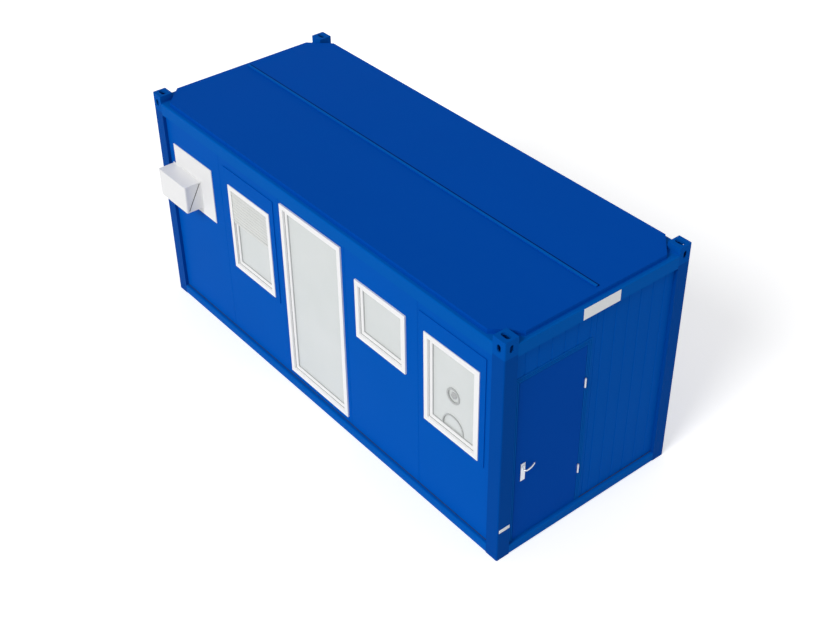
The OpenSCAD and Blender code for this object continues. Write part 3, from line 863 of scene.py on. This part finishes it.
def unitSeal():
    # foam seal round the unit where it meets the board
    v = unit
    past = v["sealPast"]
    a = v["unitWidth"] / 2 + past
    sides = (-a, a, v["unitSpan"][0] - past, v["unitSpan"][1] + past)
    ring = hoop(sides, v["sealWidth"], v["face"] - v["sealDepth"], v["face"], 0.002)
    whole = onWall(ring, "front", v["boardMiddle"] + v["unitMiddle"])
    done(whole, "unit_seal", unitWhite)


def cheekShadowStrips():
    # dark strip along the long side of the pressed triangle in each cheek of the unit: painted
    # shadow of the press's step
    v = unit
    x, rim = v["unitWidth"] / 2 - v["cheekPress"], v["cheekRim"]
    back = (v["face"] - rim, v["unitSpan"][1] - rim)
    fore = (v["front"] + v["edgeRadius"] + rim, v["unitSpan"][0] + rim)
    # dark grey rods along each press's step: painted shadow
    bars = [rod((side, *back), (side, *fore), v["cheekStrip"], 20, 0.001) for side in (-x, x)]
    whole = onWall(joined(bars), "front", v["boardMiddle"] + v["unitMiddle"])
    done(whole, "cheek_shadow_strips", cheekShadowGrey)


def unitGrille():
    # outlet grille on the underside of the unit, its blades leaning
    v = unit
    aside, inset, bar = v["grille"]
    a = v["unitWidth"] / 2 - aside
    z = v["unitSpan"][0]
    back, front = v["face"] - inset, v["front"] + inset
    low, high = z - 0.008, z + 0.001
    bars = [
        block((-a, front, low), (a, front + bar, high), 0.002),
        block((-a, back - bar, low), (a, back, high), 0.002),
        block((-a, front, low), (-a + bar, back, high), 0.002),
        block((a - bar, front, low), (a, back, high), 0.002),
    ]
    blade = block((-a + 0.008, -0.0012, -0.006), (a - 0.008, 0.0012, 0.006), 0.0008)
    blade.rotation_euler = (math.radians(v["bladeLean"]), 0, 0)
    placed(blade)
    pitch = (back - front - 2 * bar) / v["blades"]
    start = front + bar
    spots = [(0, start + pitch * (i + 0.5), z - 0.0035) for i in range(v["blades"])]
    bars.append(copies(blade, spots))
    whole = onWall(joined(bars), "front", v["boardMiddle"] + v["unitMiddle"])
    done(whole, "unit_grille", unitWhite)


# dark grey for the cheeks' strips: painted shadow
cheekShadowGrey = rubber("cheek_shadow_grey", (78, 79, 77), (100, 100, 97))
infillScrews()
infillTrim()
unitSeal()
cheekShadowStrips()
unitGrille()
print("air unit fittings made")


door = {
    "leaf": (-0.9825, -0.1075, 0.128, 2.190),
    "front": 2.9925,
    "back": 2.9525,
    "hinge": (3.0025, -0.105),
    "hingeLevels": (0.588, 1.730),
    "hingeHeight": 0.110,
    "hingeCap": (0.0095, 0.004),  # radius and height
    "flap": 0.003,
    "flapScrews": (0.022, (0.014, 0.041)),  # aside, and up or down, from the hinge's middle
    "plate": (-0.8875, 1.022, 0.225, 0.008),  # middle y and z, height, depth
    "plateScrew": 0.016,  # from the plate's ends
    "lockRise": -0.034,  # from the plate's middle to the lock cylinder
    "lockHalf": 0.118,  # half the height of the lock's face plate
    "sealDepth": 0.0045,
    "sealGap": 0.0003,
    "sealReach": (0.004, 0.008),  # past the leaf's edge and inside it
    "sill": 0.123,
    "ribs": (6, 0.004, 0.0064),  # count, place of the first and pitch
}


def doorSeal():
    # rubber seal on the stop, against the back of the leaf
    v = door
    y0, y1, z0, z1 = v["leaf"]
    x0, x1 = v["back"] - v["sealDepth"], v["back"] - v["sealGap"]
    past, within = v["sealReach"]
    bars = []
    for low, high in (
        ((x0, y0 - past, z0), (x1, y0 + within, z1)),
        ((x0, y1 - within, z0), (x1, y1 + past, z1)),
        ((x0, y0 - past, z1 - within), (x1, y1 + past, z1 + past)),
    ):
        bars.append(block(low, high, 0.0018, 3))
    done(joined(bars), "door_seal", seal)


def plateFittings():
    # lock cylinder and plate screws, on both faces of the leaf
    v = door
    y, z, tall, thick = v["plate"]
    lock = z + v["lockRise"]
    reach = tall / 2 - v["plateScrew"]
    pieces, screws = [], []
    for face, outward in ((v["front"], 1), (v["back"], -1)):
        x = face + outward * thick
        start, end = (x - outward * 0.001, y, lock), (x + outward * 0.003, y, lock)
        pieces.append(rod(start, end, 0.0085, 24, 0.001))
        # the key slot, as a thin upright tongue on the cylinder
        near, far = sorted((x, x + outward * 0.0036))
        low, high = (near, y - 0.0012, lock - 0.006), (far, y + 0.0012, lock + 0.005)
        pieces.append(block(low, high, 0.0004))
        for up in (-reach, reach):
            head = screwHead(0.005, 0.0022)
            head.rotation_euler = (0, 0, math.radians(90 * outward))
            head.location = (x, y, z + up)
            screws.append(placed(head))
    done(joined(pieces), "lock_cylinders", metal, "door")
    done(joined(screws), "plate_screws", metal, "door")


def lockPlate():
    # face plate of the mortise lock in the free edge of the leaf
    v = door
    y0, z, mid = v["leaf"][0], v["plate"][1], (v["front"] + v["back"]) / 2
    foot, top = z - v["lockHalf"], z + v["lockHalf"]
    strip = block((mid - 0.010, y0 - 0.0015, foot), (mid + 0.010, y0 + 0.001, top), 0.0006)
    latch = block((mid - 0.006, y0 - 0.0030, z + 0.024), (mid + 0.006, y0, z + 0.052), 0.001)
    bolt = block((mid - 0.005, y0 - 0.0026, z - 0.050), (mid + 0.005, y0, z - 0.020), 0.001)
    done(joined([strip, latch, bolt]), "lock_plate", metal, "door")


def hingeCaps():
    # domed caps on the pins, and the flap screws
    v = door
    x, y = v["hinge"]
    half = v["hingeHeight"] / 2
    radius, tall = v["hingeCap"]
    aside, rises = v["flapScrews"]
    low, high, screwsCabin, screwsDoor = [], [], [], []
    for level in v["hingeLevels"]:
        foot, top = level - half, level + half
        low.append(rod((x, y, foot - tall), (x, y, foot), radius, 28, 0.0025))
        high.append(rod((x, y, top), (x, y, top + tall), radius, 28, 0.0025))
        for up in rises:
            for side, group in ((-1, screwsDoor), (1, screwsCabin)):
                head = screwHead(0.0042, 0.0018)
                head.rotation_euler = (0, 0, math.radians(90))
                head.location = (v["front"] + v["flap"], y + side * aside, level - side * up)
                group.append(placed(head))
    done(joined(low), "hinge_foot_caps", metal, "cabin")
    done(joined(high), "hinge_head_caps", metal, "door")
    done(joined(screwsCabin), "hinge_frame_screws", doorPaint, "cabin")
    done(joined(screwsDoor), "hinge_leaf_screws", doorPaint, "door")


def threshold():
    # ribbed strip on the door sill, painted with the frame
    v = door
    y0, y1 = v["leaf"][0] - 0.004, v["leaf"][1] + 0.004
    z = v["sill"]
    count, first, pitch = v["ribs"]
    strip = block((v["back"] - 0.005, y0, z), (v["front"], y1, z + 0.0015), 0.0005)
    rib = block((-0.0012, y0, 0), (0.0012, y1, 0.0026), 0.0006)
    spots = [(v["back"] + first + i * pitch, 0, z) for i in range(count)]
    whole = joined([strip, copies(rib, spots)])
    done(whole, "threshold_strip", frameSteel)


doorSeal()
plateFittings()
lockPlate()
hingeCaps()
threshold()
print("door fittings made")


fittings = {
    "railPlate": (-0.235, 0.250, 2.569, 2.699),  # low and high y, low and high z
    "postPlate": (-1.200, -1.060, 0.385, 0.428),
    "endFace": 3.0275,
    "plateThick": 0.002,
    "rivetInset": 0.010,
    "ledge": 2.715,
    "trayInset": 0.050,
    "trayCut": 0.24556,
    "bead": 0.007,
    "half": (3.0275, 1.2175),
    "postFace": 0.165,
    "weldStop": 0.016,  # from the frame's face to a weld's end
    "weldPitch": 0.006,
    "weldRadius": 0.007,
    "seamRun": 2.9175,
    "seam": (0.030, 2.767, 2.781),  # y, foot and top
    "capHalf": 0.015,
    "footLine": 0.013,  # from the seam's middle to the painted shadow along its foot
    "footWidth": 0.030,
    "beamTop": 0.115,
    "footSeal": (0.004, 0.007),  # depth and height
    "doorFrame": -0.0425,  # y of the door frame's rear side
}


def barePlates():
    # the photo's two plates, left bare, with their rivets
    v = fittings
    x, inset = v["endFace"], v["rivetInset"]
    plates, rivets = [], []
    for y0, y1, z0, z1 in (v["railPlate"], v["postPlate"]):
        plates.append(block((x - 0.0005, y0, z0), (x + v["plateThick"], y1, z1), 0.0008))
        for y in (y0 + inset, y1 - inset):
            for z in (z0 + inset, z1 - inset):
                head = rod((x, y, z), (x + v["plateThick"] + 0.0015, y, z), 0.003, 14, 0.0008)
                rivets.append(head)
    done(joined(rivets), "plate_rivets", metal)
    done(joined(plates), "bare_plates", plateWhite)


def onOuterRim(spot, x, y, top):
    # at the top of the bead, past a side of the tray or a cut corner
    v = fittings
    reach = v["bead"] / 2
    pastCut = abs(spot.x) + abs(spot.y) - (x + y - v["trayCut"]) > reach * 2**0.5
    beyond = abs(spot.x) > x + reach or abs(spot.y) > y + reach or pastCut
    return beyond and abs(spot.z - top) < 0.0001


def traySealant():
    # bead of sealant where the roof tray stands on the gutter ledge
    v = fittings
    wide = v["bead"]
    x, y = v["half"][0] - v["trayInset"], v["half"][1] - v["trayInset"]
    top = v["ledge"] + wide
    deselect()
    bpy.ops.mesh.primitive_plane_add(size=1, location=(0, 0, v["ledge"]))
    ring = bpy.context.object
    ring.scale = (2 * (x + wide), 2 * (y + wide), 1)
    placed(ring)
    edit(ring, "VERT")
    bpy.ops.mesh.select_all(action="SELECT")
    # cuts the corners a bead's width outside the tray's
    cut = v["trayCut"] + wide * (2 - 2**0.5)
    bpy.ops.mesh.bevel(offset=cut, offset_type="OFFSET", affect="VERTICES", segments=1)
    bpy.ops.mesh.select_mode(type="FACE")
    bpy.ops.mesh.select_all(action="SELECT")
    bpy.ops.mesh.inset(thickness=wide, depth=0)
    bpy.ops.mesh.delete(type="FACE")
    bpy.ops.mesh.select_all(action="SELECT")
    bpy.ops.mesh.extrude_region_move(TRANSFORM_OT_translate={"value": (0, 0, wide)})
    bpy.ops.mesh.select_mode(type="EDGE")
    bpy.ops.mesh.select_all(action="DESELECT")
    pick(ring, lambda line: all(onOuterRim(end.co, x, y, top) for end in line.verts), "edges")
    bpy.ops.mesh.bevel(offset=wide * 0.85, segments=3)
    bpy.ops.object.mode_set(mode="OBJECT")
    done(ring, "tray_sealant", sealBlue)


def seamCap():
    # folded cap over the roof's seam in the lighter frame blue, a painted highlight, and a dark
    # bead along its rear foot, a painted shadow
    v = fittings
    run, half = v["seamRun"], v["capHalf"]
    y, foot, top = v["seam"]
    cap = block((-run, y - half, top - 0.003), (run, y + half, top + 0.004), 0.0018, 3)
    # a dark blue bead behind the seam: painted shadow
    near, far = y + v["footLine"], y + v["footLine"] + v["footWidth"]
    bead = block((-run, near, foot - 0.001), (run, far, foot + 0.003), 0.0018, 3)
    done(bead, "seam_painted_shadow", seamShadowBlue)
    # the cap in the lighter frame blue: painted highlight on the seam's lit side
    done(cap, "seam_cap", frameSteel)


def weldBead(start, end):
    # a row of small lapped discs, as a hand weld lies
    run = Vector(end) - Vector(start)
    pitch = fittings["weldPitch"]
    step = run.normalized() * pitch
    coin = rod(-step * 0.8, step * 0.8, fittings["weldRadius"], 10, pitch * 0.5)
    count = int(run.length / pitch)
    return copies(coin, [Vector(start) + step * (i + 0.5) for i in range(count)])


def castingWelds():
    # weld beads where the castings stand on the corner plates
    v = fittings
    a, b = (half - v["postFace"] for half in v["half"])
    outerX, outerY = (half - v["weldStop"] for half in v["half"])
    z = v["ledge"]
    beads = []
    for sx in (-1, 1):
        for sy in (-1, 1):
            corner = (sx * a, sy * b, z)
            beads.append(weldBead(corner, (sx * a, sy * outerY, z)))
            beads.append(weldBead(corner, (sx * outerX, sy * b, z)))
    done(joined(beads), "casting_welds", castPaint, angle=60)


def footSeals():
    # sealing strip along the foot of the walls, on the beam's ledge, open at the door
    v = fittings
    a, b = (half - v["postFace"] for half in v["half"])
    deep, tall = v["footSeal"]
    strips = []
    for wall, start, end, edge in (
        ("front", -a, a, 0.0018),
        ("rear", -a, a, 0.0018),
        ("left", -b, b, 0.0018),
        ("right", -b, -b + deep, 0.0015),
        ("right", v["doorFrame"], b, 0.0018),
    ):
        low, high = (start, -deep, v["beamTop"]), (end, 0.0, v["beamTop"] + tall)
        strips.append(onWall(block(low, high, edge), wall))
    done(joined(strips), "foot_seals", seal)


sealBlue = paintedSteel("sealant_blue", paintTones["roof"], rough=0.5)
# darker blue for the bead behind the seam: painted shadow
seamShadowBlue = paintedSteel("seam_shadow_paint", rgb(0, 34, 104), rough=0.5)
plateWhite = whitePlastic("bare_plate_white", (236, 238, 240), 0.3)
barePlates()
traySealant()
seamCap()
castingWelds()
footSeals()
print("frame fittings made")


room = {
    "half": (2.9275, 1.1175),
    "panel": 1.171,
    "floor": 0.118,
    "ceiling": 2.579,
    "strip": (0.030, 0.003),  # width and thickness
    "stripStop": 0.012,  # from the top of the walls' strips to the ceiling
    "skirting": (0.050, 0.010),  # height and thickness
    "doorway": (-1.054, -0.036),  # y where the skirting stops
    "cornice": (0.024, 0.014),
    "strap": (0.014, 0.0015),
    "strapPlace": (0.010, 0.0745, 0.96),  # past the window, depth, foot
    "strapTop": 0.004,  # over the window's head
    "winder": (0.020, 0.082, 0.82, 0.99),  # half width, depth of its face, foot and top
    "lid": (0.189, 0.192, 0.022, 0.178),  # depths, then foot and top over the head
    "lidPast": 0.004,
}
vent = {
    "along": 0.276,
    "half": 0.140,
    "span": (0.62, 0.78),
    "depths": (0.070, 0.0605),  # room side and back
    "rim": 0.012,
    "blades": 10,
    "first": 0.018,  # from the vent's foot to its first blade
    "pitch": 0.0138,
    "bladeDepth": 0.0655,
    "lean": 40,
}


def jointStrips():
    # flat white strips over the joints of the wall panels and the ceiling
    v = room
    wide, thick = v["strip"]
    y, ceiling = v["half"][1], v["ceiling"]
    foot, top = v["floor"] + v["skirting"][0], ceiling - v["stripStop"]
    joints = [(i - 1.5) * v["panel"] for i in range(4)]
    strips = []
    for wall, spots in (("front", joints), ("rear", joints), ("left", [0.0]), ("right", [0.0])):
        for spot in spots:
            low, high = (-wide / 2, roomFace, foot), (wide / 2, roomFace + thick, top)
            strips.append(onWall(block(low, high, 0.001), wall, spot))
    for spot in joints:
        low, high = (spot - wide / 2, -y, ceiling - thick), (spot + wide / 2, y, ceiling)
        strips.append(block(low, high, 0.001))
    done(joined(strips), "joint_strips", white)


def skirting():
    # white skirting round the floor, open at the door
    v = room
    tall, thick = v["skirting"]
    x, y = v["half"]
    low, high = v["floor"], v["floor"] + tall
    near, far = v["doorway"]
    bars = [
        block((-x, -y, low), (x, -y + thick, high), 0.003),
        block((-x, y - thick, low), (x, y, high), 0.003),
        block((-x, -y + thick, low), (-x + thick, y - thick, high), 0.003),
        block((x - thick, far, low), (x, y - thick, high), 0.003),
        block((x - thick, -y + thick, low), (x, near, high), 0.003),
    ]
    done(joined(bars), "skirting", white)


def cornice():
    # white trim that covers the joint between the walls and the ceiling
    v = room
    tall, thick = v["cornice"]
    x, y = v["half"]
    low, high = v["ceiling"] - tall, v["ceiling"]
    bars = [
        block((-x, -y, low), (x, -y + thick, high), 0.003),
        block((-x, y - thick, low), (x, y, high), 0.003),
        block((-x, -y + thick, low), (-x + thick, y - thick, high), 0.003),
        block((x - thick, -y + thick, low), (x, y - thick, high), 0.003),
    ]
    done(joined(bars), "cornice", white)


def shutterStraps():
    # strap and winder beside each window that has a shutter box
    v = room
    wide, thick = v["strap"]
    past, depth, foot = v["strapPlace"]
    half, face, caseFoot, caseTop = v["winder"]
    straps, winders = [], []
    for wall, along, width, sill, head, box in windows.values():
        if not box:
            continue
        u = width / 2 + past
        low, high = (u - wide / 2, depth, foot), (u + wide / 2, depth + thick, head + v["strapTop"])
        straps.append(onWall(block(low, high, 0.0004), wall, along))
        case = block((u - half, roomFace, caseFoot), (u + half, face, caseTop), 0.006, 3)
        edit(case)
        pick(case, lambda side: side.normal.y > 0.99)
        bpy.ops.mesh.inset(thickness=0.004, depth=-0.0015)
        bpy.ops.object.mode_set(mode="OBJECT")
        winders.append(onWall(case, wall, along))
    done(joined(straps), "shutter_straps", sealGrey)
    done(joined(winders), "strap_winders", white)


def boxLids():
    # inspection lid on each shutter box
    near, far, foot, top = room["lid"]
    lids = []
    for wall, along, width, sill, head, box in windows.values():
        if not box:
            continue
        a = width / 2 + room["lidPast"]
        lid = block((-a, near, head + foot), (a, far, head + top), 0.001)
        sunk(lid, lambda side: side.normal.y > 0.99, 0.012, 0.0015)
        lids.append(onWall(lid, wall, along))
    done(joined(lids), "shutter_box_lids", white)


def wallVent():
    # dark grille low on the room side of the left end
    v = vent
    a = v["half"]
    foot, top = v["span"]
    ring = hoop((-a, a, foot, top), v["rim"], *v["depths"])
    blade = block((-a + 0.01, -0.0012, -0.007), (a - 0.01, 0.0012, 0.007), 0.0006)
    blade.rotation_euler = (math.radians(v["lean"]), 0, 0)
    placed(blade)
    start = foot + v["first"]
    spots = [(0, v["bladeDepth"], start + i * v["pitch"]) for i in range(v["blades"])]
    whole = onWall(joined([ring, copies(blade, spots)]), "left", v["along"])
    done(whole, "wall_vent", ventGrey)


ventGrey = rubber("vent_grey", (70, 74, 74), (88, 92, 92))
jointStrips()
skirting()
cornice()
shutterStraps()
boxLids()
wallVent()
print("room fittings made")


# floor, light and camera
studio = {
    "floorSize": 120.0,
    "floorTone": 0.93,
    "lift": 0.42,  # glow of the floor as the eye sees it
    "sky": 0.45,
    "sun": 1.7,
    "sunFrom": (0.13, -0.79, 0.60),
    "sunAngle": 24.0,
}
photo = {
    "eye": (9.63644, -7.54370, 10.14821),
    "target": (-0.75533, 0.73386, 0.0),
    "roll": -0.01434,
    "lens": 58.675,
    "sensor": 36.0,
    "reach": 400.0,
}


def seenRays(shader):
    # 1 on the rays that the eye, a gloss or a glass sends, 0 on those that light the cabin
    path = shader.node("LightPath", output="Is Camera Ray")
    rays = path.socket.node.outputs
    gloss, through = (
        Value(shader, rays[kind]) for kind in ("Is Glossy Ray", "Is Transmission Ray")
    )
    return (path + gloss + through).clamp()


deselect()
bpy.ops.mesh.primitive_plane_add(size=studio["floorSize"], location=(0, 0, -0.001))
ground = bpy.context.object
ground.name = "studio_floor"
bpy.ops.object.transform_apply(location=True, rotation=True, scale=True)
floorShader = newFinish("studio_floor_paint")
lifted = floorShader.mix(seenRays(floorShader), grey(0), grey(studio["lift"]))
ground.data.materials.append(
    floorShader.finish(
        Base_Color=grey(studio["floorTone"]),
        Roughness=0.9,
        Emission_Color=lifted,
        Emission_Strength=1.0,
    )
)

world = bpy.data.worlds.new("studio")
bpy.context.scene.world = world
skyShader = Shader(world)
soft = skyShader.node("Background", {"Color": grey(1), "Strength": studio["sky"]})
plain = skyShader.node("Background", {"Color": grey(1), "Strength": 1.0})
seen = skyShader.node("MixShader", {0: seenRays(skyShader), 1: soft, 2: plain})
skyShader.node("OutputWorld", {"Surface": seen})

bpy.ops.object.light_add(type="SUN", location=(0, 0, 8))
sun = bpy.context.object
sun.data.energy = studio["sun"]
sun.data.angle = math.radians(studio["sunAngle"])
sun.rotation_euler = Vector(studio["sunFrom"]).to_track_quat("Z", "Y").to_euler()

bpy.ops.object.camera_add(location=photo["eye"])
camera = bpy.context.object
gaze = Vector(photo["target"]) - Vector(photo["eye"])
turn = gaze.to_track_quat("-Z", "Y").to_matrix() @ Matrix.Rotation(photo["roll"], 3, "Z")
camera.rotation_euler = turn.to_euler()
camera.data.sensor_fit = "HORIZONTAL"
camera.data.sensor_width = photo["sensor"]
camera.data.lens = photo["lens"]
camera.data.clip_end = photo["reach"]
bpy.context.scene.camera = camera
bpy.context.scene.view_settings.view_transform = "Standard"
